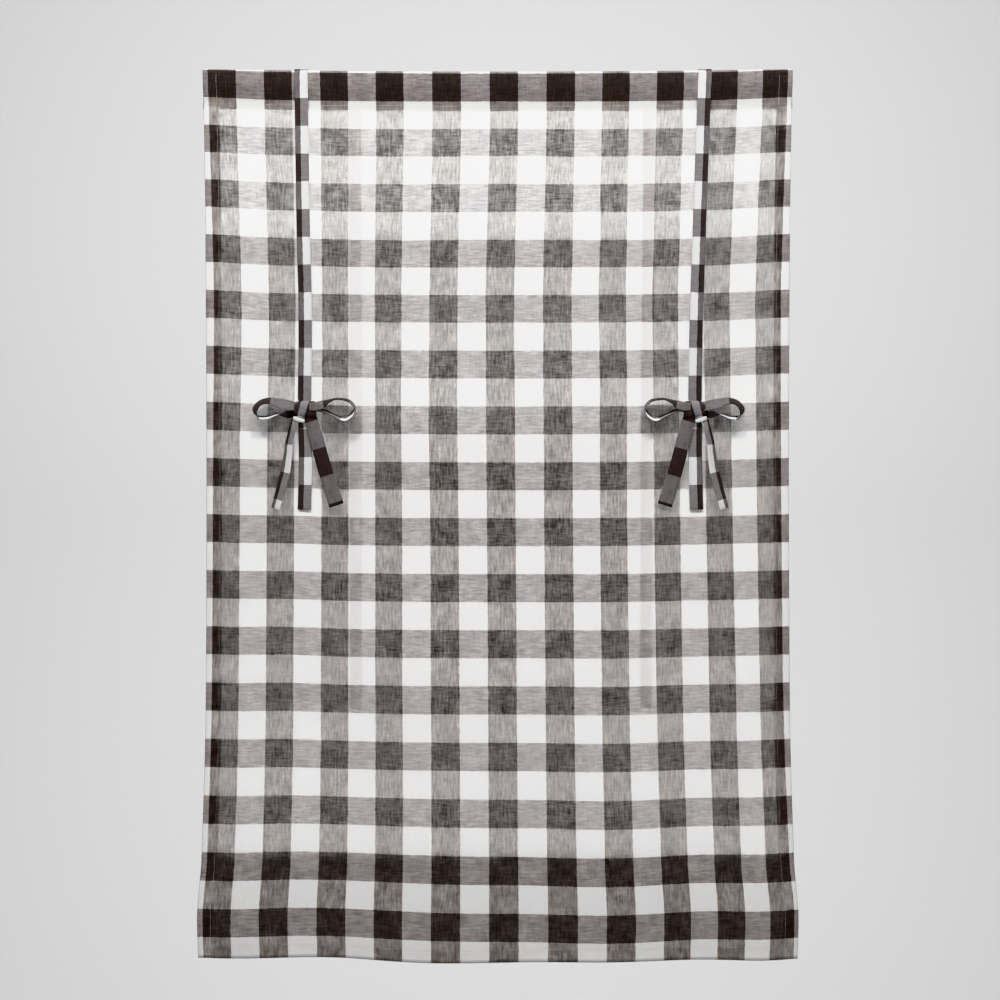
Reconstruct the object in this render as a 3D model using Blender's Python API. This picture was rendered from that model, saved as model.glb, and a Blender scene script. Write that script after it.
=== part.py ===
"""A tie-up balloon shade in buffalo check, let down to its full length.

The shade hangs by its rod pocket. X is to the right as seen from the front, the front faces -Y and
+Z is up. The origin is the middle of the pocket's top edge, where a rod would carry the shade.
All sizes are in metres.
"""

import math

import bmesh
import bpy
import numpy as np
from mathutils import Vector

# Driving sizes of the cloth
DROP = 1.600  # from the top edge straight down to the hem's edge
CLOTH = 0.0012  # one layer of cloth, with its slubs
HEM_DEPTH = 0.025
HEM_EXTRA = 0.0014  # what the turned-in layers add behind the cloth
HEM_STEP = 0.001  # the slope down from a hem to the single cloth
GAP = 0.0003  # between pieces that are sewn or tied together

# The rod pocket, a tunnel that is straight beside the rod and closes to a line of stitches
POCKET_DEPTH = 0.067
POCKET_ROOM = 0.014  # front to back inside
POCKET_STRAIGHT = 0.028  # from the top edge down to where the two layers start to close
POCKET_SEAM = 0.004  # the height of the two layers that are sewn together
SLIT = 0.0002  # what stays open between the layers at the stitches

# Below its round top, the pocket's inside: drop, half its depth
POCKET_SIDES = (
    (POCKET_STRAIGHT, POCKET_ROOM / 2),
    (0.0455, POCKET_ROOM / 4),
    (POCKET_DEPTH - 1.5 * POCKET_SEAM, SLIT),
    (POCKET_DEPTH - POCKET_SEAM, SLIT / 2),
)

# Straps and ties, all folded bands of the same cloth
BAND = 0.024
BAND_THICK = 0.0018
STRAP_DROP = 0.795  # top edge to the front strap's free end
STRAP_BACK = 0.056  # how far a strap reaches down behind the pocket
KNOT_DROP = 0.614  # top edge to the bow's knot
PINCHED = 0.018  # a strap's width inside the knot
BACK_TIE_END = 1.150  # top edge to a back tie's free end

# Colours of the cotton: the checks as a whole, the dark row on the pocket, the bands
CHECK_COTTON = (0.62, 0.60, 0.59)
POCKET_COTTON = (0.34, 0.31, 0.31)
BAND_COTTON = (0.42, 0.40, 0.39)

# How finely the curved pieces are divided
PANEL_COLUMNS = 36
PANEL_ROWS = 30
POCKET_STEPS = 24
ARC_STEPS = 8
LOOP_STEPS = 26
TAIL_STEPS = 14
STRAP_BACK_STEPS = 3
BACK_TIE_STEPS = 20

# How the cloth hangs: drop from the top edge, half the width, how far forward
HANG = (
    (0.000, 0.5325, 0.0000),
    (POCKET_DEPTH, 0.5315, 0.0000),
    (0.300, 0.5280, 0.0030),
    (0.760, 0.5255, 0.0090),
    (1.150, 0.5250, 0.0240),
    (1.420, 0.5290, 0.0470),
    (1.530, 0.5365, 0.0520),
    (DROP, 0.5350, 0.0500),
)

# Soft folds that run down the cloth and grow towards the hem.
# Place across (-1 left edge, 1 right edge), spread, how far forward at the hem
FOLDS = (
    (-1.00, 0.07, -0.0080),
    (-0.76, 0.12, 0.0045),
    (-0.50, 0.13, -0.0065),
    (-0.20, 0.15, 0.0060),
    (0.12, 0.12, -0.0050),
    (0.40, 0.14, 0.0045),
    (0.66, 0.11, -0.0060),
    (0.87, 0.08, 0.0065),
    (1.00, 0.05, -0.0050),
)

# The rows of checks lie lowest in the middle: how far the edges rise at the top and lower down
EDGE_RISE_TOP = 0.0045
EDGE_RISE_LOW = 0.0060
RISE_FULL = 0.300  # the drop where the rise is complete

# Near the hem the rows rise further: place across, spread, rise at the hem
HEM_RISES = (
    (-0.64, 0.26, 0.0080),
    (0.62, 0.28, 0.0022),
)
HEM_RISE_STARTS = 1.150

# Across the shade, each strap runs a little aslant: drop, place of its middle
STRAP_LEFT = (
    (0.000, -0.3557),
    (0.280, -0.3525),
    (0.500, -0.3485),
    (0.585, -0.3437),
    (0.645, -0.3437),
    (0.700, -0.3470),
    (STRAP_DROP, -0.3480),
)
STRAP_RIGHT = (
    (0.000, 0.3744),
    (0.280, 0.3640),
    (0.500, 0.3562),
    (0.585, 0.3515),
    (0.645, 0.3515),
    (0.700, 0.3560),
    (STRAP_DROP, 0.3568),
)

# How far a strap's middle stands in front of the middle of the cloth: drop, distance
STRAP_STANDS = (
    (POCKET_STRAIGHT, 0.0088),
    (0.150, 0.0078),
    (0.350, 0.0062),
    (KNOT_DROP, 0.0050),
    (STRAP_DROP, 0.0042),
)

# A strap's width: drop, width
STRAP_WIDTHS = (
    (0.000, BAND),
    (0.562, BAND),
    (0.590, PINCHED),
    (0.638, PINCHED),
    (0.666, BAND),
    (STRAP_DROP, BAND),
)

# How a strap's front is divided, closest round the knot: from a drop, to a drop, steps
STRAP_STRETCHES = (
    (POCKET_STRAIGHT, 0.560, 16),
    (0.560, 0.668, 12),
    (0.668, STRAP_DROP, 6),
)

# The back ties hang from the pocket's stitches: drop, place of the middle, how far behind its top,
# turn of its right edge towards the front in degrees
BACK_TIE_LEFT = (
    (0.061, -0.2580, 0.0000, 0),
    (0.180, -0.2577, 0.0004, 2),
    (0.420, -0.2566, 0.0000, 6),
    (0.700, -0.2560, -0.0030, 3),
    (0.960, -0.2556, -0.0060, -9),
    (BACK_TIE_END, -0.2545, -0.0040, -16),
)
BACK_TIE_RIGHT = (
    (0.061, 0.2745, 0.0000, 0),
    (0.180, 0.2736, 0.0003, -2),
    (0.420, 0.2712, 0.0002, -5),
    (0.700, 0.2688, -0.0026, 2),
    (0.960, 0.2672, -0.0052, 10),
    (BACK_TIE_END, 0.2660, -0.0030, 15),
)

# The knot wraps the strap: half its inner width and depth, then its walls
KNOT_HALF_WIDTH = PINCHED / 2 + GAP
KNOT_HALF_DEPTH = BAND_THICK / 2 + GAP
KNOT_FRONT = 0.0065
KNOT_BACK = 0.0014
KNOT_SIDE = 0.0065
KNOT_HEIGHT = 0.030
KNOT_FACE = 0.72  # the height of its outer face, as a share of its whole height
KNOT_BEHIND = 0.7  # the same for the knot's height behind the strap
KNOT_TURN_STEPS = 16

# Each ribbon of a bow, in rows along its length, measured from the knot's middle on the strap:
# right, forward, up, turn of its upper or right edge towards the front in degrees, width.
# These are the left bow's, and the right bow's are their mirror image.
OUTER_LOOP = (
    (-0.007, 0.0060, 0.003, 0, 0.012),
    (-0.022, 0.0115, 0.008, -4, 0.017),
    (-0.045, 0.0175, 0.013, -8, 0.020),
    (-0.070, 0.0195, 0.013, -16, 0.022),
    (-0.087, 0.0175, 0.008, -34, 0.022),
    (-0.095, 0.0125, -0.001, -52, 0.022),
    (-0.087, 0.0080, -0.008, -52, 0.021),
    (-0.070, 0.0070, -0.009, -44, 0.020),
    (-0.045, 0.0070, -0.006, -32, 0.017),
    (-0.022, 0.0050, -0.002, -12, 0.013),
    (-0.007, 0.0029, -0.003, 0, 0.010),
)
INNER_LOOP = (
    (0.007, 0.0029, 0.003, 4, 0.010),
    (0.022, 0.0055, 0.008, 8, 0.015),
    (0.040, 0.0085, 0.012, 12, 0.020),
    (0.062, 0.0100, 0.012, 15, 0.022),
    (0.079, 0.0115, 0.008, 28, 0.022),
    (0.086, 0.0145, 0.001, 50, 0.021),
    (0.080, 0.0185, -0.007, 66, 0.019),
    (0.065, 0.0205, -0.014, 72, 0.018),
    (0.046, 0.0175, -0.009, 66, 0.016),
    (0.024, 0.0115, -0.003, 36, 0.013),
    (0.007, 0.0060, -0.003, 8, 0.010),
)
WIDE_TAIL = (
    (0.004, 0.0045, -0.005, 0, 0.014),
    (0.009, 0.0056, -0.021, 4, 0.021),
    (0.018, 0.0060, -0.050, 6, 0.025),
    (0.032, 0.0065, -0.100, 5, 0.025),
    (0.051, 0.0050, -0.168, 3, 0.025),
)
NARROW_TAIL = (
    (-0.004, 0.0052, -0.006, 0, 0.010),
    (-0.011, 0.0062, -0.020, 22, 0.015),
    (-0.025, 0.0095, -0.052, 54, 0.021),
    (-0.033, 0.0115, -0.090, 64, 0.024),
    (-0.041, 0.0120, -0.126, 64, 0.024),
    (-0.055, 0.0110, -0.175, 56, 0.024),
)

UP = Vector((0, 0, 1))
RIGHT = Vector((1, 0, 0))
FRONT = Vector((0, -1, 0))


def soft(table, column, at):
    """Reads a column of a table at a place along its first column, on a soft curve through its rows."""
    places = [row[0] for row in table]
    values = [row[column] for row in table]
    steep = np.diff(values) / np.diff(places)
    turns = [2 * a * b / (a + b) if a * b > 0 else 0 for a, b in zip(steep, steep[1:], strict=False)]
    slopes = [steep[0], *turns, steep[-1]]
    i = int(np.clip(np.searchsorted(places, at) - 1, 0, len(places) - 2))
    step = places[i + 1] - places[i]
    t = min(max((at - places[i]) / step, 0.0), 1.0)
    start = (1 + 2 * t) * (1 - t) ** 2 * values[i] + t * (1 - t) ** 2 * step * slopes[i]
    end = t**2 * (3 - 2 * t) * values[i + 1] - t**2 * (1 - t) * step * slopes[i + 1]
    return float(start + end)


def fade(at, start, end):
    """Goes softly from 0 at the start to 1 at the end."""
    t = min(max((at - start) / (end - start), 0.0), 1.0)
    return t * t * (3 - 2 * t)


def rise(across, drop):
    """How far a row of checks lies above its own middle."""
    edge = EDGE_RISE_TOP + (EDGE_RISE_LOW - EDGE_RISE_TOP) * fade(drop, 0, RISE_FULL)
    near_hem = fade(drop, HEM_RISE_STARTS, DROP - HEM_DEPTH)
    bumps = sum(up * math.exp(-(((across - place) / spread) ** 2)) for place, spread, up in HEM_RISES)
    return edge * across**2 + near_hem * bumps


def hang(across, drop):
    """The middle of the hanging cloth at a place across and a drop from the top edge."""
    growth = fade(drop, POCKET_DEPTH, DROP)
    folds = sum(out * math.exp(-(((across - place) / spread) ** 2)) for place, spread, out in FOLDS)
    forward = CLOTH / 2 + soft(HANG, 2, drop) + growth * folds
    return Vector((soft(HANG, 1, drop) * across, -forward, rise(across, drop) - drop))


def solid(name, bm, colour):
    """Makes an object with its own cotton material from a closed bmesh."""
    bmesh.ops.recalc_face_normals(bm, faces=bm.faces)
    if bm.calc_volume(signed=True) < 0:
        bmesh.ops.reverse_faces(bm, faces=bm.faces)
    mesh = bpy.data.meshes.new(name)
    bm.to_mesh(mesh)
    bm.free()
    cotton = bpy.data.materials.new(name + "_cotton")
    cotton.use_nodes = True
    shader = cotton.node_tree.nodes["Principled BSDF"]
    shader.inputs["Base Color"].default_value = (*colour, 1)
    shader.inputs["Roughness"].default_value = 0.9
    shader.inputs["Metallic"].default_value = 0.0
    mesh.materials.append(cotton)
    mesh.shade_smooth()
    mesh.set_sharp_from_angle(angle=math.radians(40))
    piece = bpy.data.objects.new(name, mesh)
    bpy.context.scene.collection.objects.link(piece)
    return piece


def panel():
    """The check panel below the pocket, one sheet with its side hems and bottom hem."""
    hem = HEM_DEPTH / soft(HANG, 1, DROP)
    step = HEM_STEP / soft(HANG, 1, DROP)
    middle = np.linspace(hem + step - 1, 1 - hem - step, PANEL_COLUMNS + 1)
    columns = [-1, hem / 2 - 1, hem - 1, *middle, 1 - hem, 1 - hem / 2, 1]
    single = np.linspace(POCKET_DEPTH + GAP, DROP - HEM_DEPTH - HEM_STEP, PANEL_ROWS + 1)
    rows = [*single, DROP - HEM_DEPTH, DROP - HEM_DEPTH / 2, DROP]

    bm = bmesh.new()
    bmesh.ops.create_grid(bm, x_segments=len(columns) - 1, y_segments=len(rows) - 1, size=0.5)
    front = list(bm.verts)
    grown = bmesh.ops.extrude_face_region(bm, geom=bm.faces[:])
    back = [v for v in grown["geom"] if isinstance(v, bmesh.types.BMVert)]
    for verts, is_back in ((front, False), (back, True)):
        for v in verts:
            across = columns[round((v.co.x + 0.5) * (len(columns) - 1))]
            drop = rows[round((0.5 - v.co.y) * (len(rows) - 1))]
            hemmed = abs(across) > 1 - hem - step / 2 or drop > DROP - HEM_DEPTH - HEM_STEP / 2
            behind = CLOTH / 2 + (HEM_EXTRA if hemmed else 0)
            v.co = hang(across, drop) + FRONT * (-behind if is_back else CLOTH / 2)
    return solid("panel", bm, CHECK_COTTON)


def pocket_outline(wall):
    """The pocket's section, in places towards the back and drops, from the front's foot over the top."""
    radius = POCKET_ROOM / 2 + wall
    centre = POCKET_ROOM / 2 + CLOTH
    down = [(half + wall, drop) for drop, half in POCKET_SIDES]
    if wall:
        down[-1] = (down[-1][0], POCKET_DEPTH)
    turns = [math.pi * i / ARC_STEPS for i in range(ARC_STEPS + 1)]
    arc = [(-radius * math.cos(turn), centre - radius * math.sin(turn)) for turn in turns]
    return [(-half, drop) for half, drop in reversed(down)] + arc + down


def rod_pocket():
    """The folded top of the cloth, sewn into a tunnel that is open at both ends."""
    outlines = {1.0: pocket_outline(CLOTH), 0.5: pocket_outline(0)}
    points = len(outlines[1.0])
    bm = bmesh.new()
    for radius in outlines:
        bmesh.ops.create_circle(bm, segments=points, radius=radius)
    bmesh.ops.bridge_loops(bm, edges=bm.edges[:])
    grown = bmesh.ops.extrude_face_region(bm, geom=bm.faces[:])
    far = [v for v in grown["geom"] if isinstance(v, bmesh.types.BMVert)]
    bmesh.ops.translate(bm, verts=far, vec=UP)
    long_edges = [e for e in bm.edges if abs(e.verts[0].co.z - e.verts[1].co.z) > 0.5]
    bmesh.ops.subdivide_edges(bm, edges=long_edges, cuts=POCKET_STEPS - 1, use_grid_fill=True)
    for v in bm.verts:
        turn = math.atan2(v.co.x, v.co.y) % math.tau
        outline = outlines[1.0 if v.co.xy.length > 0.75 else 0.5]
        side, drop = outline[round(turn / math.tau * points) % points]
        across = 2 * v.co.z - 1
        v.co = Vector((soft(HANG, 1, 0) * across, side, rise(across, drop) - drop))
    return solid("rod_pocket", bm, POCKET_COTTON)


def ribbon(steps, place):
    """A flat bar of the given steps along its length, bent by a function of where a point lies."""
    bm = bmesh.new()
    bmesh.ops.create_cube(bm, size=1)
    long_edges = [e for e in bm.edges if abs(e.verts[0].co.x - e.verts[1].co.x) > 0.5]
    bmesh.ops.subdivide_edges(bm, edges=long_edges, cuts=steps - 1, use_grid_fill=True)
    for v in bm.verts:
        v.co = place(v.co.x + 0.5, v.co.y, v.co.z)
    return bm


def band_along(path, sides, widths):
    """A place function for a ribbon along a path of points, with its side and width at each."""
    last = len(path) - 1

    def place(along, across, through):
        i = round(along * last)
        ahead = (path[min(i + 1, last)] - path[max(i - 1, 0)]).normalized()
        side = (sides[i] - ahead * sides[i].dot(ahead)).normalized()
        outward = ahead.cross(side)
        return path[i] + side * (across * widths[i]) + outward * (through * BAND_THICK)

    return place


def strap_line(table, drop):
    """The middle of a strap in front of the cloth at a drop."""
    x = soft(table, 1, drop)
    across = x / soft(HANG, 1, drop)
    stand = soft(STRAP_STANDS, 1, drop)
    return Vector((x, hang(across, drop).y - stand, rise(across, drop) - drop))


def strap(name, table):
    """A front strap: up behind the pocket, over its top and down the front to a free end."""
    x = table[0][1]
    lift = rise(x / soft(HANG, 1, 0), 0)
    centre = CLOTH + POCKET_ROOM / 2
    off = CLOTH + GAP + BAND_THICK / 2
    radius = POCKET_ROOM / 2 + off
    sides = list(zip(*POCKET_SIDES, strict=True))
    path = []
    for drop in np.linspace(STRAP_BACK, POCKET_STRAIGHT, STRAP_BACK_STEPS + 1):
        path.append(Vector((x, np.interp(drop, *sides) + off, lift - drop)))
    for i in range(2 * ARC_STEPS + 1):
        turn = math.pi * i / (2 * ARC_STEPS)
        path.append(Vector((x, radius * math.cos(turn), lift - centre + radius * math.sin(turn))))
    drops = [POCKET_STRAIGHT]
    for start, end, steps in STRAP_STRETCHES:
        drops += list(np.linspace(start, end, steps + 1))[1:]
    widths = [BAND] * len(path) + [soft(STRAP_WIDTHS, 1, drop) for drop in drops]
    path += [strap_line(table, drop) for drop in drops]
    place = band_along(path, [RIGHT] * len(path), widths)
    return solid(name, ribbon(len(path) - 1, place), BAND_COTTON)


def back_tie(name, table):
    """A tie that hangs free behind the cloth from the pocket's stitches, turning a little as it falls."""
    start, x = table[0][:2]
    lift = rise(x / soft(HANG, 1, start), start)
    top = CLOTH + SLIT + GAP + BAND_THICK / 2
    path, sides = [], []
    for drop in np.linspace(start, BACK_TIE_END, BACK_TIE_STEPS + 1):
        x, behind, turn = (soft(table, column, drop) for column in (1, 2, 3))
        path.append(Vector((x, top + behind, lift - drop)))
        sides.append(RIGHT * math.cos(math.radians(turn)) + FRONT * math.sin(math.radians(turn)))
    place = band_along(path, sides, [BAND] * len(path))
    return solid(name, ribbon(len(path) - 1, place), BAND_COTTON)


def knot(spot, mirrored):
    """A band that wraps the strap, thickest in front and slim behind."""
    bm = bmesh.new()
    half = KNOT_TURN_STEPS // 4
    section = [(0.0, -0.5), (1.0, -KNOT_FACE / 2), (1.0, KNOT_FACE / 2), (0.0, 0.5)]
    verts = [bm.verts.new((1 + out, 0, up)) for out, up in section]
    edges = [bm.edges.new((verts[i], verts[(i + 1) % 4])) for i in range(4)]
    bmesh.ops.spin(
        bm,
        geom=verts + edges,
        axis=UP,
        cent=(0, 0, 0),
        angle=math.tau,
        steps=KNOT_TURN_STEPS,
        use_merge=True,
    )
    for v in bm.verts:
        turn = math.atan2(v.co.y, v.co.x)
        step = round(abs(turn) / math.tau * KNOT_TURN_STEPS)
        is_outer = v.co.xy.length > 1.5
        depth_wall = KNOT_BACK if turn > 0 else KNOT_FRONT
        if is_outer:
            x = math.cos(turn) * (KNOT_HALF_WIDTH + KNOT_SIDE)
            y = math.sin(turn) * (KNOT_HALF_DEPTH + depth_wall)
        else:
            x = min(max((half - step) / (half - 1), -1), 1) * KNOT_HALF_WIDTH
            y = (0 if step in (0, 2 * half) else math.copysign(1, turn)) * KNOT_HALF_DEPTH
        tall = KNOT_HEIGHT * (KNOT_BEHIND if turn > 0.1 else 1)
        v.co = spot(Vector((mirrored * x, -y, v.co.z * tall)))
    return bm


def bow(name, table, mirrored):
    """A tie knotted round a strap in a bow: two loops, two free tails and the knot, one solid."""

    def spot(point):
        """A point to the right, forward and up of the knot's middle, on the strap's own line."""
        line = strap_line(table, max(KNOT_DROP - point.z, KNOT_DROP))
        middle = strap_line(table, KNOT_DROP)
        return Vector((middle.x + point.x, line.y - point.y, middle.z + point.z))

    def ribbon_of(rows, steps, base):
        counted = [(i, *row) for i, row in enumerate(rows)]
        path, sides, widths = [], [], []
        for at in np.linspace(0, len(rows) - 1, steps + 1):
            right, forward, up, turn, width = (soft(counted, column, at) for column in range(1, 6))
            side = base * math.cos(math.radians(turn)) + FRONT * math.sin(math.radians(turn))
            path.append(spot(Vector((mirrored * right, forward, up))))
            sides.append(Vector((mirrored * side.x, side.y, side.z)))
            widths.append(width)
        return ribbon(steps, band_along(path, sides, widths))

    whole = solid(name, knot(spot, mirrored), BAND_COTTON)
    pieces = (
        (OUTER_LOOP, LOOP_STEPS, UP),
        (INNER_LOOP, LOOP_STEPS, UP),
        (WIDE_TAIL, TAIL_STEPS, RIGHT),
        (NARROW_TAIL, TAIL_STEPS, RIGHT),
    )
    for number, (rows, steps, base) in enumerate(pieces):
        part = solid(f"{name}_piece_{number}", ribbon_of(rows, steps, base), BAND_COTTON)
        part.hide_render = True
        part.display_type = "WIRE"
        union = whole.modifiers.new("join", "BOOLEAN")
        union.operation = "UNION"
        union.solver = "EXACT"
        union.object = part
    return whole


def main():
    for old in list(bpy.data.objects):
        bpy.data.objects.remove(old)
    panel()
    rod_pocket()
    strap("strap_left", STRAP_LEFT)
    strap("strap_right", STRAP_RIGHT)
    bow("bow_left", STRAP_LEFT, 1)
    bow("bow_right", STRAP_RIGHT, -1)
    back_tie("back_tie_left", BACK_TIE_LEFT)
    back_tie("back_tie_right", BACK_TIE_RIGHT)


main()
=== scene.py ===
"""The looks of a tie-up balloon shade in slubby buffalo check cotton, let down to its full length.

The cloth is one sheet with its folded hems and rod pocket, and straps, bows and ties of the same
cloth lie on it. All sizes are in metres unless a name says otherwise.
"""

import functools
import math

import bmesh
import bpy
import numpy as np
from mathutils import Matrix, Vector, noise


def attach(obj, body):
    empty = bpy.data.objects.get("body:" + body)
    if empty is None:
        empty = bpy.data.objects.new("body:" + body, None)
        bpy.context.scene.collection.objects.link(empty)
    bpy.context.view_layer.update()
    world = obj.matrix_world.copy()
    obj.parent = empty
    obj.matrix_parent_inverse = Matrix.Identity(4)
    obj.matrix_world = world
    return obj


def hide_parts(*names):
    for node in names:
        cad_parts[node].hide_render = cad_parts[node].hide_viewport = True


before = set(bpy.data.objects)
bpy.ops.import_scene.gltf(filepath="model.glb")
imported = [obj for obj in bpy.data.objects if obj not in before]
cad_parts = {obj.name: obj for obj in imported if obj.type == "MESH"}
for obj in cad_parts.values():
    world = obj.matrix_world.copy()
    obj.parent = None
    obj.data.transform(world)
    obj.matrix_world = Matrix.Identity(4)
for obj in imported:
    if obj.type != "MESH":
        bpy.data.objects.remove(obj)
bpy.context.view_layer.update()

UP = Vector((0, 0, 1))
RIGHT = Vector((1, 0, 0))
FRONT = Vector((0, -1, 0))

# Driving sizes of the cloth, as in the solids
DROP = 1.600
CLOTH = 0.0012  # the thickness that the solids give one layer
HEM_DEPTH = 0.025
SIDE_HEM = 0.028
POCKET_DEPTH = 0.067
POCKET_ROOM = 0.014
POCKET_STRAIGHT = 0.028
POCKET_SEAM = 0.004
POCKET_BACK = 0.072  # the pocket's turned-under back edge reaches this far down
SLIT = 0.0002  # between the two layers at the pocket's seam

# The sheet that shows
SHEET = 0.0005  # real thickness of one layer with its slubs
LAYER = 0.0009  # from the middle of one layer to the next in a hem
HEM_TURN = 0.0008  # a hem's layers part this far from its edge
SHEET_COLUMNS = 140
SHEET_ROWS = 236
FLAP_STEPS = 4
TOP_STEPS = 10
BACK_ROWS = 12
POCKET_TURNED = 1.2  # the pocket's back, turned under, holds back this much more light than a hem
BACK_FLATTENS = 0.020  # over this length above its seam, the pocket's back presses its hems flat

# One check is this wide. The flat cloth carries the checks at an even pitch.
CHECK = 0.0506

# Below its round top, the pocket's inside: drop, half its depth
POCKET_SIDES = (
    (POCKET_STRAIGHT, POCKET_ROOM / 2),
    (0.0455, POCKET_ROOM / 4),
    (POCKET_DEPTH - 1.5 * POCKET_SEAM, SLIT),
    (POCKET_DEPTH - POCKET_SEAM, SLIT / 2),
)

# How the cloth hangs: drop from the top edge, half the width, how far forward
HANG = (
    (0.000, 0.5325, 0.0000),
    (POCKET_DEPTH, 0.5315, 0.0000),
    (0.300, 0.5280, 0.0030),
    (0.760, 0.5255, 0.0090),
    (1.150, 0.5250, 0.0240),
    (1.420, 0.5290, 0.0470),
    (1.530, 0.5365, 0.0520),
    (DROP, 0.5350, 0.0500),
)

# Soft folds that run down the cloth and grow towards the hem.
# Place across (-1 left edge, 1 right edge), spread, how far forward at the hem
FOLDS = (
    (-1.00, 0.07, -0.0080),
    (-0.76, 0.12, 0.0045),
    (-0.50, 0.13, -0.0065),
    (-0.20, 0.15, 0.0060),
    (0.12, 0.12, -0.0050),
    (0.40, 0.14, 0.0045),
    (0.66, 0.11, -0.0060),
    (0.87, 0.08, 0.0065),
    (1.00, 0.05, -0.0050),
)

# The rows of checks lie lowest in the middle: how far the edges rise at the top and lower down
EDGE_RISE_TOP = 0.0045
EDGE_RISE_LOW = 0.0060
RISE_FULL = 0.300

# Near the hem the rows rise further: place across, spread, rise at the hem
HEM_RISES = (
    (-0.64, 0.26, 0.0080),
    (0.62, 0.28, 0.0022),
)
HEM_RISE_STARTS = 1.150

# Where the upright lines between checks lie: number of the line, then its place across the shade
# below the pocket, in the upper half, in the lower half and at the hem. The warp is black from
# each even line to the next.
CHECK_LINES = (
    (0, -0.985, -0.978, -0.980, -0.982),
    (4, -0.603, -0.604, -0.606, -0.602),
    (7, -0.320, -0.330, -0.327, -0.318),
    (10, -0.028, -0.042, -0.034, -0.029),
    (13, 0.262, 0.252, 0.261, 0.265),
    (16, 0.540, 0.528, 0.542, 0.552),
    (19, 0.814, 0.793, 0.814, 0.821),
    (21, 0.984, 0.970, 0.976, 0.986),
)
CHECK_LINE_DROPS = (0.080, 0.400, 1.080, 1.500)

# Where the level lines between checks lie in the middle of the shade: drop, number of the line. The
# weft is black from each even line to the next.
CHECK_ROWS = (
    (0.0036, 0),
    (0.4031, 8),
    (0.8060, 16),
    (1.2084, 24),
    (1.5608, 31),
    (DROP, 31.78),
)

# Cotton never hangs true: here the checks lie off their lines, in soft patches. Place across and
# its spread, drop and its spread, how far the checks lie to the right and lower down
WANDERS = (
    (0.00, 2.00, 0.800, 2.000, 0.0003, 0.0019),
    (-1.00, 0.16, 0.250, 0.500, 0.0010, -0.0040),
    (1.00, 0.16, 0.300, 0.450, 0.0000, -0.0040),
    (0.00, 0.16, 0.150, 0.080, 0.0012, -0.0022),
    (0.38, 0.28, 1.520, 0.450, 0.0008, 0.0040),
    (-0.28, 0.22, 1.480, 0.220, 0.0000, -0.0030),
    (-0.72, 0.13, 1.150, 0.350, 0.0000, -0.0034),
    (-0.40, 0.25, 0.310, 0.070, -0.0006, 0.0018),
    (0.48, 0.25, 0.310, 0.070, 0.0016, 0.0014),
    (-0.82, 0.20, 0.440, 0.160, 0.0036, 0.0006),
    (-0.22, 0.14, 0.620, 0.140, -0.0026, 0.0000),
    (0.42, 0.12, 0.550, 0.150, 0.0022, 0.0006),
)

# Unevenness of the hanging cloth: how often across and down in a metre, a start of its own, height
CREASES = (
    (5.0, 3.0, 1.7, 0.0016),
    (16.0, 9.0, 5.1, 0.0006),
)
CREASES_FULL = 0.120  # from the pocket's seam they grow down to this drop
PUCKERS = (42.0, 6.0, 8.3, 0.0007)  # these gather along the two level seams
PUCKER_SEAMS = (
    (POCKET_DEPTH + 0.020, 0.030),
    (DROP - HEM_DEPTH, 0.020),
)

# Sewing: straight machine stitches
STITCH_PITCH = 0.0032
STITCH_LONG = 0.0026
STITCH_START = 0.001
THREAD_THICK = 0.0005
SIDE_SEAM = 0.0240  # from the cloth's edge
SIDE_SEAM_TOP = 0.010
SIDE_SEAM_END = 0.003  # above the hem's edge
SIDE_SEAM_STEPS = 240
HEM_SEAM = 0.0230
SEAM_REACH = 0.998  # the level seams reach this far across
SEAM_STEPS = 160
STRAP_SEAM = 0.0022  # from the strap's edge

# Bands: straps and ties, all folded from the same cloth
BAND = 0.024
BAND_THICK = 0.0014
BAND_DARK = 0.010  # the width of the black warp along a band's outer edge
BAND_COLUMNS = 6
BAND_SWAY = 0.0004  # how far a band's soft face strays from its line
SWAYS_ALONG = 45.0  # how often it does so in a metre of length, and across its width
SWAYS_ACROSS = 1.5
SWAY_OWN = 30.0  # gives each band a start of its own, by where it hangs
FOLD_ROUND = 0.4 * BAND_THICK
BAND_CUP = 0.0006  # how far the middle of a bow's ribbon stands off the line between its edges
BACK_TIE_WIDE = 0.022
STRAP_DROP = 0.795
STRAP_BACK = 0.056
STRAP_FIRST_ROW = 0.0525  # the drop where a strap's first black row starts
STRAP_PITCH = 0.0501  # the height of its rows
STRAP_DRAWN_UP = 0.0035  # how far the knot draws up the strap below it
STRAP_BACK_STEPS = 7
STRAP_TURN_STEPS = 17
STRAP_STEPS = 120
KNOT_DROP = 0.6185
PINCHED = 0.018
BACK_TIE_START = 0.061
BACK_TIE_END = 1.150
BACK_TIE_STEPS = 60
GAP = 0.0003  # between pieces that lie on each other
SOLID_BAND = 0.0018  # a band's thickness in the solids

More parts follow.
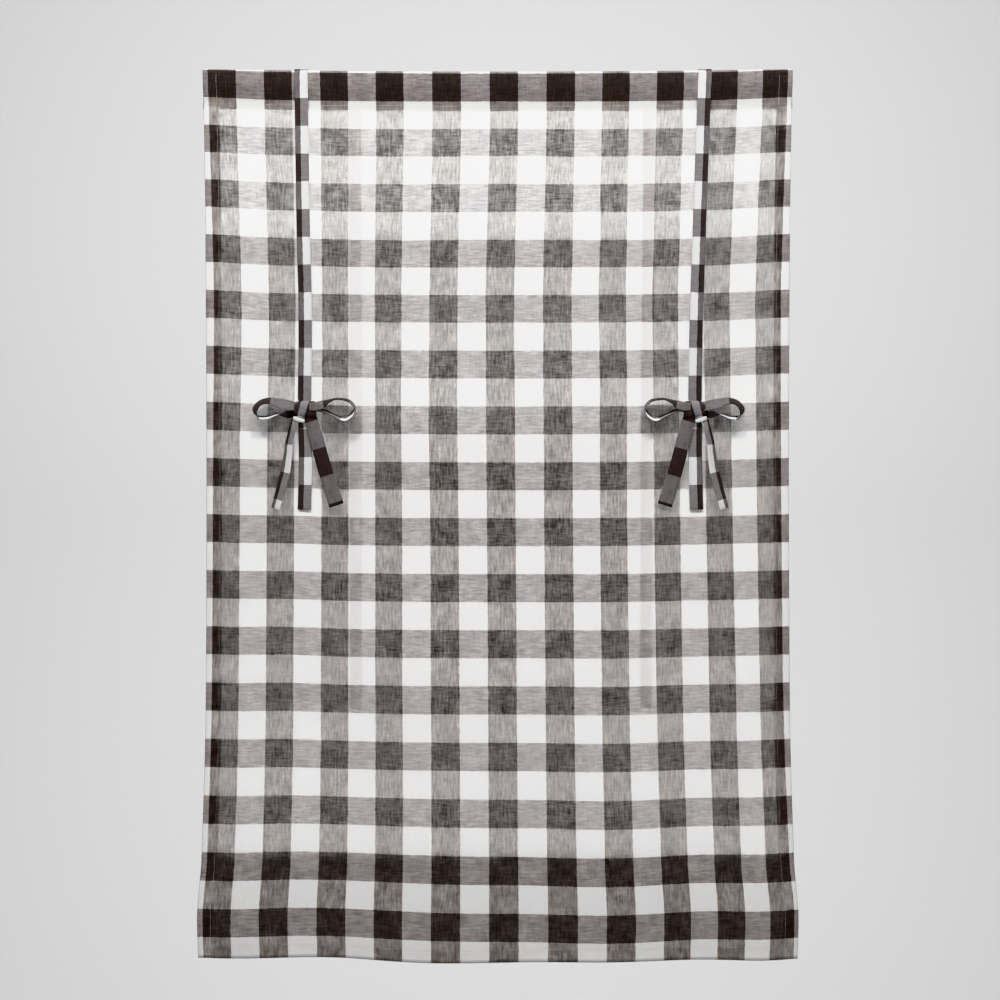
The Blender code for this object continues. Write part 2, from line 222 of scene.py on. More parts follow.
STRAP_LEFT = (
    (0.000, -0.3550),
    (0.280, -0.3508),
    (0.440, -0.3470),
    (0.500, -0.3468),
    (0.585, -0.3480),
    (0.645, -0.3472),
    (0.700, -0.3462),
    (STRAP_DROP, -0.3480),
)
STRAP_RIGHT = (
    (0.000, 0.3744),
    (0.280, 0.3640),
    (0.500, 0.3572),
    (0.585, 0.3560),
    (0.645, 0.3560),
    (0.700, 0.3564),
    (STRAP_DROP, 0.3585),
)
KNOT_ASIDE = 0.0046  # how far the knot's middle is from its strap's, towards the shade's middle
STRAP_STANDS = (
    (POCKET_STRAIGHT, 0.0088),
    (0.150, 0.0078),
    (0.350, 0.0062),
    (KNOT_DROP, 0.0050),
    (STRAP_DROP, 0.0042),
)
STRAP_WIDTHS = (
    (0.000, BAND),
    (0.596, BAND),
    (0.608, PINCHED),
    (0.628, PINCHED),
    (0.640, BAND),
    (STRAP_DROP, BAND),
)

# The back ties: drop, place of the middle, how far behind its top, turn in degrees
BACK_TIE_LEFT = (
    (BACK_TIE_START, -0.2580, 0.0000, 0),
    (0.180, -0.2577, 0.0004, 2),
    (0.420, -0.2566, 0.0000, 6),
    (0.700, -0.2560, -0.0030, 3),
    (0.960, -0.2556, -0.0060, -9),
    (BACK_TIE_END, -0.2545, -0.0040, -16),
)
BACK_TIE_RIGHT = (
    (BACK_TIE_START, 0.2745, 0.0000, 0),
    (0.180, 0.2736, 0.0003, -2),
    (0.420, 0.2712, 0.0002, -5),
    (0.700, 0.2688, -0.0026, 2),
    (0.960, 0.2672, -0.0052, 10),
    (BACK_TIE_END, 0.2660, -0.0030, 15),
)

# Each ribbon of a bow, measured from the knot's middle: right, forward, up, then its upper or right
# edge's turn towards the front in degrees and its lean to the right, and its width. These are the
# left bow's. A loop runs from its upper strand round its tip to its lower strand.
OUTER_LOOP = (
    (-0.0070, 0.0060, 0.0060, -8, 0.0, 0.0130),
    (-0.0213, 0.0110, 0.0090, -20, 0.0, 0.0170),
    (-0.0350, 0.0145, 0.0119, -28, 0.0, 0.0205),
    (-0.0480, 0.0165, 0.0143, -36, 0.0, 0.0220),
    (-0.0577, 0.0175, 0.0172, -50, 0.0, 0.0220),
    (-0.0673, 0.0180, 0.0185, -57, 0.0, 0.0220),
    (-0.0770, 0.0178, 0.0172, -60, -0.1, 0.0220),
    (-0.0865, 0.0170, 0.0115, -62, -0.3, 0.0215),
    (-0.0920, 0.0160, 0.0020, -70, -0.55, 0.0215),
    (-0.0890, 0.0150, -0.0070, -72, -0.35, 0.0215),
    (-0.0800, 0.0140, -0.0118, -70, 0.0, 0.0215),
    (-0.0690, 0.0130, -0.0108, -70, 0.0, 0.0210),
    (-0.0560, 0.0115, -0.0060, -74, 0.0, 0.0200),
    (-0.0470, 0.0100, -0.0050, -100, 0.0, 0.0190),
    (-0.0370, 0.0085, -0.0050, -128, 0.0, 0.0180),
    (-0.0220, 0.0060, -0.0045, -140, 0.0, 0.0160),
    (-0.0070, 0.0030, -0.0030, -160, 0.0, 0.0110),
)
INNER_LOOP = (
    (0.0040, 0.0090, 0.0085, 0, 0.0, 0.0130),
    (0.0115, 0.0112, 0.0085, -4, 0.0, 0.0155),
    (0.0200, 0.0125, 0.0095, -8, 0.0, 0.0165),
    (0.0295, 0.0140, 0.0125, -35, 0.0, 0.0190),
    (0.0390, 0.0150, 0.0175, -66, 0.0, 0.0210),
    (0.0554, 0.0155, 0.0222, -79, 0.0, 0.0220),
    (0.0715, 0.0150, 0.0203, -77, 0.0, 0.0220),
    (0.0810, 0.0145, 0.0147, -74, 0.0, 0.0220),
    (0.0868, 0.0140, 0.0060, -74, -0.1, 0.0220),
    (0.0825, 0.0135, -0.0045, -70, -0.22, 0.0225),
    (0.0690, 0.0130, -0.0140, -68, -0.1, 0.0225),
    (0.0600, 0.0120, -0.0120, -70, 0.0, 0.0220),
    (0.0473, 0.0105, -0.0060, -74, 0.0, 0.0200),
    (0.0310, 0.0080, 0.0010, -72, 0.0, 0.0180),
    (0.0160, 0.0050, 0.0040, -60, 0.0, 0.0140),
    (0.0060, 0.0030, 0.0050, -30, 0.0, 0.0120),
)
WIDE_TAIL = (
    (0.0040, 0.0045, -0.0005, 0, 0.0, 0.0160),
    (0.0085, 0.0056, -0.0165, 4, 0.0, 0.0230),
    (0.0165, 0.0060, -0.0455, 6, 0.0, 0.0250),
    (0.0300, 0.0065, -0.0955, 8, 0.0, 0.0260),
    (0.0535, 0.0050, -0.1690, 3, 0.0, 0.0270),
)
NARROW_TAIL = (
    (-0.0225, 0.0065, -0.0140, 0, 0.0, 0.0100),
    (-0.0245, 0.0080, -0.0240, 20, 0.0, 0.0130),
    (-0.0280, 0.0090, -0.0400, 42, 0.0, 0.0190),
    (-0.0320, 0.0100, -0.0580, 48, 0.0, 0.0215),
    (-0.0342, 0.0110, -0.0820, 44, 0.0, 0.0230),
    (-0.0375, 0.0118, -0.1060, 40, 0.0, 0.0240),
    (-0.0436, 0.0120, -0.1307, 38, 0.0, 0.0240),
    (-0.0560, 0.0100, -0.1750, 38, 0.0, 0.0220),
)

# The knot's folds, in the same terms: one wraps it aslant in front, one stands out on each side of
# it, and one turns over below it into the narrow tail
KNOT_WRAP = (
    (-0.0030, 0.0010, 0.0185, 0, 0.0, 0.0145),
    (-0.0035, 0.0085, 0.0165, 0, 0.0, 0.0145),
    (-0.0055, 0.0125, 0.0080, 0, 0.0, 0.0140),
    (-0.0080, 0.0130, -0.0020, -4, 0.0, 0.0135),
    (-0.0105, 0.0105, -0.0100, -8, 0.0, 0.0130),
    (-0.0118, 0.0050, -0.0140, -8, 0.0, 0.0125),
)
KNOT_OUTSIDE = (
    (-0.0150, 0.0010, 0.0170, 0, 0.0, 0.0110),
    (-0.0162, 0.0080, 0.0135, -10, 0.0, 0.0120),
    (-0.0165, 0.0115, 0.0050, -20, 0.0, 0.0130),
    (-0.0155, 0.0110, -0.0030, -20, 0.0, 0.0130),
    (-0.0130, 0.0045, -0.0090, -10, 0.0, 0.0120),
)
KNOT_INSIDE = (
    (0.0070, 0.0010, 0.0180, 0, 0.0, 0.0140),
    (0.0075, 0.0075, 0.0130, 8, 0.0, 0.0160),
    (0.0082, 0.0095, 0.0050, 10, 0.0, 0.0175),
    (0.0088, 0.0095, -0.0050, 8, 0.0, 0.0180),
    (0.0085, 0.0050, -0.0145, 4, 0.0, 0.0180),
)
KNOT_FOLD = (
    (-0.0045, 0.0080, -0.0175, 0, 0.0, 0.0055),
    (-0.0120, 0.0105, -0.0158, 0, 0.0, 0.0072),
    (-0.0185, 0.0105, -0.0135, 0, 0.0, 0.0078),
    (-0.0245, 0.0075, -0.0118, 0, 0.0, 0.0065),
)

# Where across the flat cloth a ribbon's middle lies: in a black stripe of the warp, in a white one,
# or so that the ribbon's outer edge is black
BLACK_STRIPE = CHECK / 2
WHITE_STRIPE = 1.5 * CHECK
BLACK_EDGED = CHECK - BAND_DARK + BAND / 2

# Where down the flat cloth each ribbon starts
OUTER_LOOP_CUT = -0.0600
INNER_LOOP_CUT = 0.0742
WIDE_TAIL_CUT = -0.0684
NARROW_TAIL_CUT = 0.0036
KNOT_WRAP_CUT = 0.3 * CHECK
BACK_TIE_CUT = 0.3 * CHECK


@functools.cache
def soft(table, column, at):
    """Reads a column of a table at a place along its first column, on a soft curve through its rows."""
    places = [row[0] for row in table]
    values = [row[column] for row in table]
    steep = np.diff(values) / np.diff(places)
    turns = [2 * a * b / (a + b) if a * b > 0 else 0 for a, b in zip(steep, steep[1:], strict=False)]
    slopes = [steep[0], *turns, steep[-1]]
    i = int(np.clip(np.searchsorted(places, at) - 1, 0, len(places) - 2))
    step = places[i + 1] - places[i]
    t = min(max((at - places[i]) / step, 0.0), 1.0)
    start = (1 + 2 * t) * (1 - t) ** 2 * values[i] + t * (1 - t) ** 2 * step * slopes[i]
    end = t**2 * (3 - 2 * t) * values[i + 1] - t**2 * (1 - t) * step * slopes[i + 1]
    return float(start + end)


def fade(at, start, end):
    """Goes softly from 0 at the start to 1 at the end."""
    t = min(max((at - start) / (end - start), 0.0), 1.0)
    return t * t * (3 - 2 * t)


def bump(at, middle, spread):
    """A soft hump of height 1."""
    return math.exp(-(((at - middle) / spread) ** 2))


def rise(across, drop):
    """How far a row of checks lies above its own middle."""
    edge = EDGE_RISE_TOP + (EDGE_RISE_LOW - EDGE_RISE_TOP) * fade(drop, 0, RISE_FULL)
    near_hem = fade(drop, HEM_RISE_STARTS, DROP - HEM_DEPTH)
    return edge * across**2 + near_hem * sum(up * bump(across, at, wide) for at, wide, up in HEM_RISES)


def hang(across, drop):
    """The middle of the hanging cloth at a place across and a drop from the top edge."""
    growth = fade(drop, POCKET_DEPTH, DROP)
    folds = sum(out * bump(across, at, wide) for at, wide, out in FOLDS)
    forward = CLOTH / 2 + soft(HANG, 2, drop) + growth * folds
    return Vector((soft(HANG, 1, drop) * across, -forward, rise(across, drop) - drop))


# Cotton's colours: white, black weft over white warp, black warp over white weft, black. A sheer
# single layer loses much of what falls on it, so folded cloth shows other tones than a sheet does.
SHEET_COLOURS = ("#efeeed", "#928c8b", "#88827f", "#3d3735")
FOLDED_COLOURS = ("#b4b3b3", "#686566", "#585556", "#2e2828")


def linear(colour):
    """A hex sRGB colour as linear red, green, blue and alpha."""
    parts = [int(colour[i : i + 2], 16) / 255 for i in (1, 3, 5)]
    return (*[c / 12.92 if c <= 0.04045 else ((c + 0.055) / 1.055) ** 2.4 for c in parts], 1)


def add(tree, kind, inputs=(), **settings):
    """Adds a node of a kind with its settings. An input is a value, an output that it is linked to,
    or a node whose first output it is linked to."""
    made = tree.nodes.new("ShaderNode" + kind)
    for name, value in settings.items():
        setattr(made, name, value)
    for name, value in dict(inputs).items():
        source = value.outputs[0] if isinstance(value, bpy.types.Node) else value
        if isinstance(source, bpy.types.NodeSocket):
            tree.links.new(source, made.inputs[name])
        else:
            made.inputs[name].default_value = source
    return made


def new_material(name):
    """A new material without nodes, and its node tree."""
    made = bpy.data.materials.new(name)
    made.use_nodes = True
    made.node_tree.nodes.clear()
    return made, made.node_tree


# Yarn and weave, in millimetres. The real yarns are about 0.6 mm apart, too fine to show in the
# render, so the relief is drawn with yarns 1.3 mm apart.
YARN_MM = 1.3
SLUB_WIDE_MM = 3.4  # slubs gather a few yarns into one streak
SLUB_LONG_MM = 26.0
PATCH_MM = 22.0  # the cloth is denser and thinner in patches of this size
STRAY_MM = 1.6  # how far a yarn strays to and fro from its line
STRAY_EVERY_MM = 9.0
PATCHY = 0.35  # how much a patch adds to the slubs
SLUB_THIN = 0.42  # the noise values at which a yarn is thinnest and thickest
SLUB_THICK = 0.93
YARN_PROUD = 0.3  # how far a yarn stands over the next one, against a slub


def weave(tree, flat):
    """Works out from the flat cloth where the yarns are black, how thick they are, and the relief.

    Gives nodes: black warp, black weft, warp thickness, weft thickness, relief.
    """
    places = add(tree, "SeparateXYZ", {0: flat}).outputs
    patch = add(tree, "TexNoise", {"Vector": flat, "Scale": 1000 / PATCH_MM}, noise_dimensions="2D")
    blacks, thicks, waves = [], [], []
    for axis in (0, 1):
        # Yarns stray a little from their line, so a check's edge is never quite straight
        strays = {"Vector": flat, "Scale": 1000 / STRAY_EVERY_MM}
        stray = add(tree, "TexNoise", strays, noise_dimensions="2D")
        off = add(tree, "Math", {0: stray, 1: 0.5}, operation="SUBTRACT")
        line = add(tree, "Math", {0: off, 1: STRAY_MM / 1000, 2: places[axis]}, operation="MULTIPLY_ADD")
        pairs = add(tree, "Math", {0: line, 1: 0.5 / CHECK}, operation="MULTIPLY")
        share = add(tree, "Math", {0: pairs}, operation="FRACT")
        blacks.append(add(tree, "Math", {0: share, 1: 0.5}, operation="LESS_THAN"))

        # Slubs: long streaks along the yarn, narrow across it
        stretch = [1000 / SLUB_LONG_MM, 1000 / SLUB_LONG_MM, 1]
        stretch[axis] = 1000 / SLUB_WIDE_MM
        streaks = add(tree, "Mapping", {"Vector": flat, "Scale": stretch})
        slubs = {"Vector": streaks, "Scale": 1.0, "Detail": 2.0, "Roughness": 0.75, "Distortion": 0.2}
        slub = add(tree, "TexNoise", slubs, noise_dimensions="2D")
        uneven = add(tree, "Math", {0: patch, 1: PATCHY, 2: slub}, operation="MULTIPLY_ADD")
        thicks.append(add(tree, "MapRange", {0: uneven, 1: SLUB_THIN, 2: SLUB_THICK, 3: 0.0, 4: 1.0}))
        phase = add(tree, "Math", {0: places[axis], 1: 1000 * math.pi / YARN_MM}, operation="MULTIPLY")
        waves.append(add(tree, "Math", {0: phase}, operation="SINE"))
    # Plain weave: warp and weft lie on top in turn, and a slub stands proud
    over = add(tree, "Math", {0: waves[0], 1: waves[1]}, operation="MULTIPLY")
    slubs = add(tree, "Math", {0: thicks[0], 1: thicks[1]}, operation="ADD")
    relief = add(tree, "Math", {0: over, 1: YARN_PROUD, 2: slubs}, operation="MULTIPLY_ADD")
    return *blacks, *thicks, relief


# Black yarn is a little browner or bluer from patch to patch
DYE_PATCHES = 31.0  # in a metre
DYE_BROWN = 0.35  # the noise values at which it is brownest and bluest
DYE_BLUE = 0.65
BROWN_CAST = (1.03, 1.0, 0.965, 1)
BLUE_CAST = (1.0, 0.985, 1.02, 1)
NO_CAST = (1, 1, 1, 1)

# What a thick yarn adds to the brightness of any square, and on top of it of a square with any
# black, of one where this yarn is black, and of one where both are
WARP_SHADES = (-0.02, -0.25, -0.65, 0.45)
WEFT_SHADES = (-0.02, -0.35, -0.25, 0.25)

# How far a thick yarn closes the gaps beside it, and how much further a black one does
WARP_CLOSES = (-0.25, -0.75)
WEFT_CLOSES = (-0.25, -0.55)
GAPS_SHOW = (0.03, 0.24, 0.32)  # in any square, and more where either yarn is black, and where both

# What each face of the sheet passes on in a white square and in a grey one, and its colour
THROUGH_WHITE = 0.885
THROUGH_GREY = 0.99
GREY_TINT = (1, 1, 0.995, 1)
BLACK_TINT = (1, 0.975, 0.97, 1)
HEM_HOLDS = 0.7  # a hem holds back this share of it
HEM_DENSER = 0.2  # and sends this share more of the light back


def cotton(name, colours, slubby, sheer, through_black, aside=0.0):
    """Slubby yarn-dyed cotton in a plain weave, black and white. The yarns are matt with a little
    fuzz, so light spreads softly over them.

    slubby is how far slubs shade it, sheer how much of the light goes on through it, and
    through_black how much of that a black square lets through. aside is how far aside the cloth
    was cut.
    """
    made, tree = new_material(name)
    cut = add(tree, "UVMap", uv_map="cloth")
    flat = add(tree, "VectorMath", {0: cut, 1: (aside, 0, 0)}, operation="ADD")
    warp, weft, warp_thick, weft_thick, relief = weave(tree, flat)
    either = add(tree, "Math", {0: warp, 1: weft}, operation="MAXIMUM")
    both = add(tree, "Math", {0: warp, 1: weft}, operation="MULTIPLY")

    def weighed(amounts, *values):
        """The first amount, and on top of it each value times its own amount."""
        total = amounts[0]
        for value, amount in zip(values, amounts[1:], strict=True):
            total = add(tree, "Math", {0: value, 1: amount, 2: total}, operation="MULTIPLY_ADD")
        return total

    def by_square(white, weft_only, warp_only, crossed):
        """A colour for each kind of square, by which of its yarns are black."""
        white_warp = add(tree, "Mix", {0: weft, 6: white, 7: weft_only}, data_type="RGBA")
        black_warp = add(tree, "Mix", {0: weft, 6: warp_only, 7: crossed}, data_type="RGBA")
        warps = {0: warp, 6: white_warp.outputs[2], 7: black_warp.outputs[2]}
        return add(tree, "Mix", warps, data_type="RGBA").outputs[2]

    dye = add(tree, "TexNoise", {"Vector": flat, "Scale": DYE_PATCHES}, noise_dimensions="2D")
    dye = add(tree, "MapRange", {0: dye, 1: DYE_BROWN, 2: DYE_BLUE, 3: 0.0, 4: 1.0})
    cast = add(tree, "Mix", {0: dye, 6: BROWN_CAST, 7: BLUE_CAST}, data_type="RGBA").outputs[2]
    square = by_square(*(linear(colour) for colour in colours))
    casts = by_square(NO_CAST, cast, cast, cast)
    square = add(tree, "VectorMath", {0: square, 1: casts}, operation="MULTIPLY")

    # Where the black yarn is thick, a grey square is darker, and in each square slubs shade a little
    warp_off = weighed((-0.5 * slubby, slubby), warp_thick)
    weft_off = weighed((-0.5 * slubby, slubby), weft_thick)
    warp_shade = weighed(WARP_SHADES, either, warp, both)
    weft_shade = weighed(WEFT_SHADES, either, weft, both)
    shade = weighed((1.0, warp_shade, weft_shade), warp_off, weft_off)
    front = add(tree, "VectorMath", {0: square, "Scale": shade}, operation="SCALE")
    bumps = add(tree, "Bump", {"Height": relief, "Strength": 0.35, "Distance": 0.00035})
    matt = {"Base Color": front, "Roughness": 0.88, "Specular IOR Level": 0.2, "Normal": bumps}
    fuzz = {"Sheen Weight": 0.08, "Sheen Roughness": 0.4}
    surface = add(tree, "BsdfPrincipled", {**matt, **fuzz})
    if sheer:
        # Light passes between the yarns: most where both are thin, and black yarns close the gaps
        warp_closes = weighed(WARP_CLOSES, warp)
        weft_closes = weighed(WEFT_CLOSES, weft)
        gap = weighed((0.0, warp_closes, weft_closes), warp_off, weft_off)
        swing = weighed(GAPS_SHOW, either, both)
        levels = (THROUGH_WHITE, through_black - THROUGH_GREY, THROUGH_GREY - THROUGH_WHITE)
        level = weighed(levels, both, either)
        passed = add(tree, "Math", {0: level, 1: weighed((1.0, swing), gap)}, operation="MULTIPLY")
        # A hem is turned twice, so its inner layers let much less through
        turned = add(tree, "Attribute", attribute_name="turned").outputs["Fac"]
        held = weighed((1.0, -HEM_HOLDS), turned)
        passed = add(tree, "Math", {0: passed, 1: held}, operation="MULTIPLY")
        warmth = by_square(NO_CAST, GREY_TINT, GREY_TINT, BLACK_TINT)
        tint = add(tree, "VectorMath", {0: warmth, "Scale": passed}, operation="SCALE")
        through = add(tree, "BsdfTranslucent", {"Color": tint})
        share = weighed((sheer, -HEM_DENSER * sheer), turned)
        surface = add(tree, "MixShader", {0: share, 1: surface, 2: through})
    add(tree, "OutputMaterial", {0: surface})
    return made


THREAD_STRANDS = 900.0  # in a metre


def thread_material(name, dark, light):
    """Polyester sewing thread: finer and smoother than the cotton, so it glints a little."""
    made, tree = new_material(name)
    place = add(tree, "TexCoord").outputs["Object"]
    strands = add(tree, "TexNoise", {"Vector": place, "Scale": THREAD_STRANDS})
    shades = {0: strands, 6: linear(dark), 7: linear(light)}
    colour = add(tree, "Mix", shades, data_type="RGBA").outputs[2]
    shader = add(tree, "BsdfPrincipled", {"Base Color": colour, "Roughness": 0.55})
    add(tree, "OutputMaterial", {0: shader})
    return made


def paper_material():
    """Smooth matt studio paper."""
    made, tree = new_material("studio_paper")
    shader = add(tree, "BsdfPrincipled", {"Base Color": linear("#d4d4d5"), "Roughness": 0.9})
    add(tree, "OutputMaterial", {0: shader})
    return made


OTHER_SIDE = CHECK / 2 + 0.002  # how far aside the cloth of a folded band's other side was cut
CHECK_COTTON = cotton("yarn_dyed_check_cotton", SHEET_COLOURS, 1.0, 0.57, 0.73)
TIE_COTTON = cotton("thin_check_cotton", SHEET_COLOURS, 1.0, 0.55, 0.74)
BAND_COTTON = cotton("folded_check_cotton", FOLDED_COLOURS, 0.45, 0.0, 0.0)
BAND_BACK = cotton("folded_check_cotton_other_side", FOLDED_COLOURS, 0.45, 0.0, 0.0, OTHER_SIDE)
WHITE_THREAD = thread_material("white_polyester_thread", "#b5aca6", "#d3ccc7")
GREY_THREAD = thread_material("grey_polyester_thread", "#4d4847", "#6d6766")


def finished(name, bm, material, slot, *nodes):
    """Makes a piece from a bmesh: its material, its body and the solids that it stands for. slot is not
    used.
    """
    mesh = bpy.data.meshes.new(name)
    bm.to_mesh(mesh)
    bm.free()
    mesh.materials.append(material)
    mesh.shade_smooth()
    piece = bpy.data.objects.new(name, mesh)
    bpy.context.scene.collection.objects.link(piece)
    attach(piece, "root")
    if nodes:
        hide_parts(*nodes)
    return piece


@functools.cache
def line_places(drop):
    """Where across the shade the listed upright lines lie at a drop."""
    return [np.interp(drop, CHECK_LINE_DROPS, row[1:]) for row in CHECK_LINES]


def check_line(across, drop):
    """The number of check lines from the left at a place across the shade."""
    places = line_places(drop)
    numbers = [row[0] for row in CHECK_LINES]
    first = (numbers[1] - numbers[0]) / (places[1] - places[0])
    last = (numbers[-1] - numbers[-2]) / (places[-1] - places[-2])
    if across < places[0]:
        return numbers[0] + (across - places[0]) * first
    if across > places[-1]:
        return numbers[-1] + (across - places[-1]) * last
    return float(np.interp(across, places, numbers))


def row_line(drop):
    """The number of check rows from the top at a drop."""
    return soft(CHECK_ROWS, 1, drop)


def pocket_half(drop):
    """Half the pocket's inner depth at a drop."""
    sides = list(zip(*POCKET_SIDES, strict=True))
    return float(np.interp(drop, *sides)) if drop < POCKET_DEPTH else 0.0


def wander(across, drop):
    """How far the checks lie to the right and lower down than their lines say."""
    near = [(bump(across, a, wide) * bump(drop, d, tall), x, y) for a, wide, d, tall, x, y in WANDERS]
    return sum(n * x for n, x, y in near), sum(n * y for n, x, y in near)


def small_creases(flat_x, flat_y):
    """Unevenness of the hanging cloth, forward: slow waves, faint creases and puckers along seams."""

    def waves(often_across, often_down, start, height):
        return height * noise.noise(Vector((flat_x * often_across, flat_y * often_down, start)))

    near_seam = sum(bump(flat_y, middle, spread) for middle, spread in PUCKER_SEAMS)
    return sum(waves(*crease) for crease in CREASES) + near_seam * waves(*PUCKERS)


def flat_place(across, drop):
    """Where on the flat cloth a place of the hanging front is."""
    aside, lower = wander(across, drop)
    return check_line(across, drop) * CHECK - aside, row_line(drop) * CHECK - lower


def on_front(across, drop):
    """The middle of the front sheet, with the pocket's room and the small creases."""
    point = hang(across, drop)
    creased = fade(drop, POCKET_DEPTH, CREASES_FULL) * small_creases(flat_place(across, drop)[0], drop)
    point.y -= pocket_half(drop) + creased
    return point


def check_cloth():
    """The whole cloth: pocket, panel and turned hems, one sheet."""
    half = soft(HANG, 1, DROP)
    edge = HEM_TURN / half
    flaps = list(np.linspace(SIDE_HEM, HEM_TURN, FLAP_STEPS + 1))
    hem_flaps = list(np.linspace(HEM_DEPTH, HEM_TURN, FLAP_STEPS + 1))
    middle = np.linspace(edge - 1, 1 - edge, SHEET_COLUMNS + 1)
    columns = [(-1, f, 1.0) for f in flaps] + [(-1, 0.0, 0.5)] + [(a, 0.0, 0.0) for a in middle]
    columns += [(1, 0.0, 0.5)] + [(1, f, 1.0) for f in reversed(flaps)]

    arc_middle = POCKET_ROOM / 2 + CLOTH
    front = np.linspace(arc_middle, DROP - HEM_TURN, SHEET_ROWS + 1)
    rows = [("hem", f, 1.0) for f in hem_flaps] + [("hem", 0.0, 0.5)]
    rows += [("front", d, 0.0) for d in reversed(front)]
    rows += [("top", math.pi * i / TOP_STEPS, 0.0) for i in range(1, TOP_STEPS)]
    rows += [("back", d, 0.0) for d in np.linspace(arc_middle, POCKET_BACK, BACK_ROWS + 1)]

    def spot(column, row):
        """A place of the sheet: point, flat place across, flat place down."""
        across, flap, side_layer = column
        kind, at, hem_layer = row
        drop = {"hem": DROP - at, "front": at, "top": 0.0, "back": 0.0}[kind]
        wide = soft(HANG, 1, drop)
        inward = across - math.copysign(flap / wide, across) if flap else across
        flat_x, flat_y = flat_place(across, drop)
        if flap:
            flat_x += math.copysign(flap, across)
        behind = LAYER * side_layer
        if kind in ("front", "hem"):
            # From the front: the cloth, its side hem, the side hem within the bottom hem, the bottom hem
            point = on_front(inward, drop)
            point.y += 3 * LAYER * hem_layer + behind * (1 - 2 * hem_layer)
            return point, flat_x, flat_y + (2 * at if kind == "hem" else 0)
        radius = POCKET_ROOM / 2 + CLOTH / 2
        start = flat_place(across, arc_middle)[1]
        lift = rise(inward, 0)
        if kind == "top":
            y = -(radius - behind) * math.cos(at)
            z = -arc_middle + (radius - behind) * math.sin(at)
            return Vector((wide * inward, y, lift + z)), flat_x, start - radius * at
        y = pocket_half(at) + CLOTH / 2 - behind * fade(POCKET_DEPTH - at, 0.0, BACK_FLATTENS)
        flat_y = start - radius * math.pi - (at - arc_middle)
        return Vector((wide * inward, y, lift - at)), flat_x, flat_y

    bm = bmesh.new()
    bmesh.ops.create_grid(bm, x_segments=len(columns) - 1, y_segments=len(rows) - 1, size=0.5)
    turned = bm.verts.layers.float.new("turned")
    places = {}
    for v in bm.verts:
        column = columns[round((v.co.x + 0.5) * (len(columns) - 1))]
        row = rows[round((v.co.y + 0.5) * (len(rows) - 1))]
        v.co, x, y = spot(column, row)
        in_pocket = row[0] == "front" and row[1] < POCKET_DEPTH - POCKET_SEAM
        layers = {"top": 1.0, "back": POCKET_TURNED}.get(row[0], float(in_pocket))
        v[turned] = max(column[2], row[2], layers)
        places[v] = (x, y)
    layer = bm.loops.layers.uv.new("cloth")
    for face in bm.faces:
        for loop in face.loops:
            loop[layer].uv = places[loop.vert]
    piece = finished("check_cloth", bm, CHECK_COTTON, "check_cotton", "panel", "rod_pocket")
    wall = piece.modifiers.new("thickness", "SOLIDIFY")
    wall.thickness = SHEET
    wall.offset = 0
    return piece


def lengths_along(path):
    """How far along a line of points each of them is."""
    return np.cumsum([0.0] + [(b - a).length for a, b in zip(path, path[1:], strict=False)])


def stitches(name, slot, material, lines):
    """Rows of straight machine stitches along lines of points."""
    bm = bmesh.new()
    for line in lines:
        lengths = lengths_along(line)
        rows = np.array([tuple(point) for point in line])
        for start in np.arange(STITCH_START, lengths[-1] - STITCH_LONG, STITCH_PITCH):
            ends = [
                Vector([float(np.interp(at, lengths, rows[:, i])) for i in range(3)])
                for at in (start, start + STITCH_LONG)
            ]
            turn = (ends[1] - ends[0]).to_track_quat("X", "Z").to_matrix().to_4x4()
            shape = Matrix.Diagonal((STITCH_LONG / 2, THREAD_THICK / 2, THREAD_THICK / 2, 1))
            place = Matrix.Translation((ends[0] + ends[1]) / 2) @ turn @ shape
            bmesh.ops.create_icosphere(bm, subdivisions=1, radius=1.0, matrix=place)
    return finished(name, bm, material, slot)


def band(bm, path, sides, widths, uv_of, cup=0.0):
    """Adds a flat band along a path to a bmesh, as a sheet that gets its thickness afterwards.

    uv_of gives the flat place at a length along and a place across, and cup is how far the band's
    middle stands off the line between its edges.
    """
    layer = bm.loops.layers.uv.get("cloth") or bm.loops.layers.uv.new("cloth")
    last = len(path) - 1
    made = bmesh.ops.create_grid(bm, x_segments=last, y_segments=BAND_COLUMNS, size=0.5)["verts"]
    lengths = lengths_along(path)
    places = {}
    for v in made:
        i = round((v.co.x + 0.5) * last)
        ahead = (path[min(i + 1, last)] - path[max(i - 1, 0)]).normalized()
        side = (sides[i] - ahead * sides[i].dot(ahead)).normalized()
        outward = ahead.cross(side)
        across = v.co.y
        places[v] = uv_of(float(lengths[i]), across * widths[i])
        start = path[0].x * SWAY_OWN
        sway = noise.noise(Vector((lengths[i] * SWAYS_ALONG, across * SWAYS_ACROSS, start))) * BAND_SWAY
        v.co = path[i] + side * (across * widths[i]) + outward * (cup * (1 - 4 * across**2) + sway)
    faces = list({f for v in made for f in v.link_faces})
    for face in faces:
        for loop in face.loops:
            loop[layer].uv = places[loop.vert]
    return faces


def folded_band(name, bm, material, *nodes):
    """Turns the sheets of a band's bmesh into folded cloth with rounded edges."""
    piece = finished(name, bm, material, "strap_cotton", *nodes)
    layers = piece.modifiers.new("layers", "SOLIDIFY")
    layers.thickness = BAND_THICK
    layers.offset = 0
    fold = piece.modifiers.new("fold", "BEVEL")
    fold.width = FOLD_ROUND
    fold.segments = 2
    fold.limit_method = "ANGLE"
    fold.angle_limit = math.radians(50)
    return piece


def strap_line(table, drop):
    """The middle of a strap in front of the cloth at a drop."""
    x = soft(table, 1, drop)
    across = x / soft(HANG, 1, drop)
    stand = soft(STRAP_STANDS, 1, drop)
    return Vector((x, hang(across, drop).y - stand, rise(across, drop) - drop))


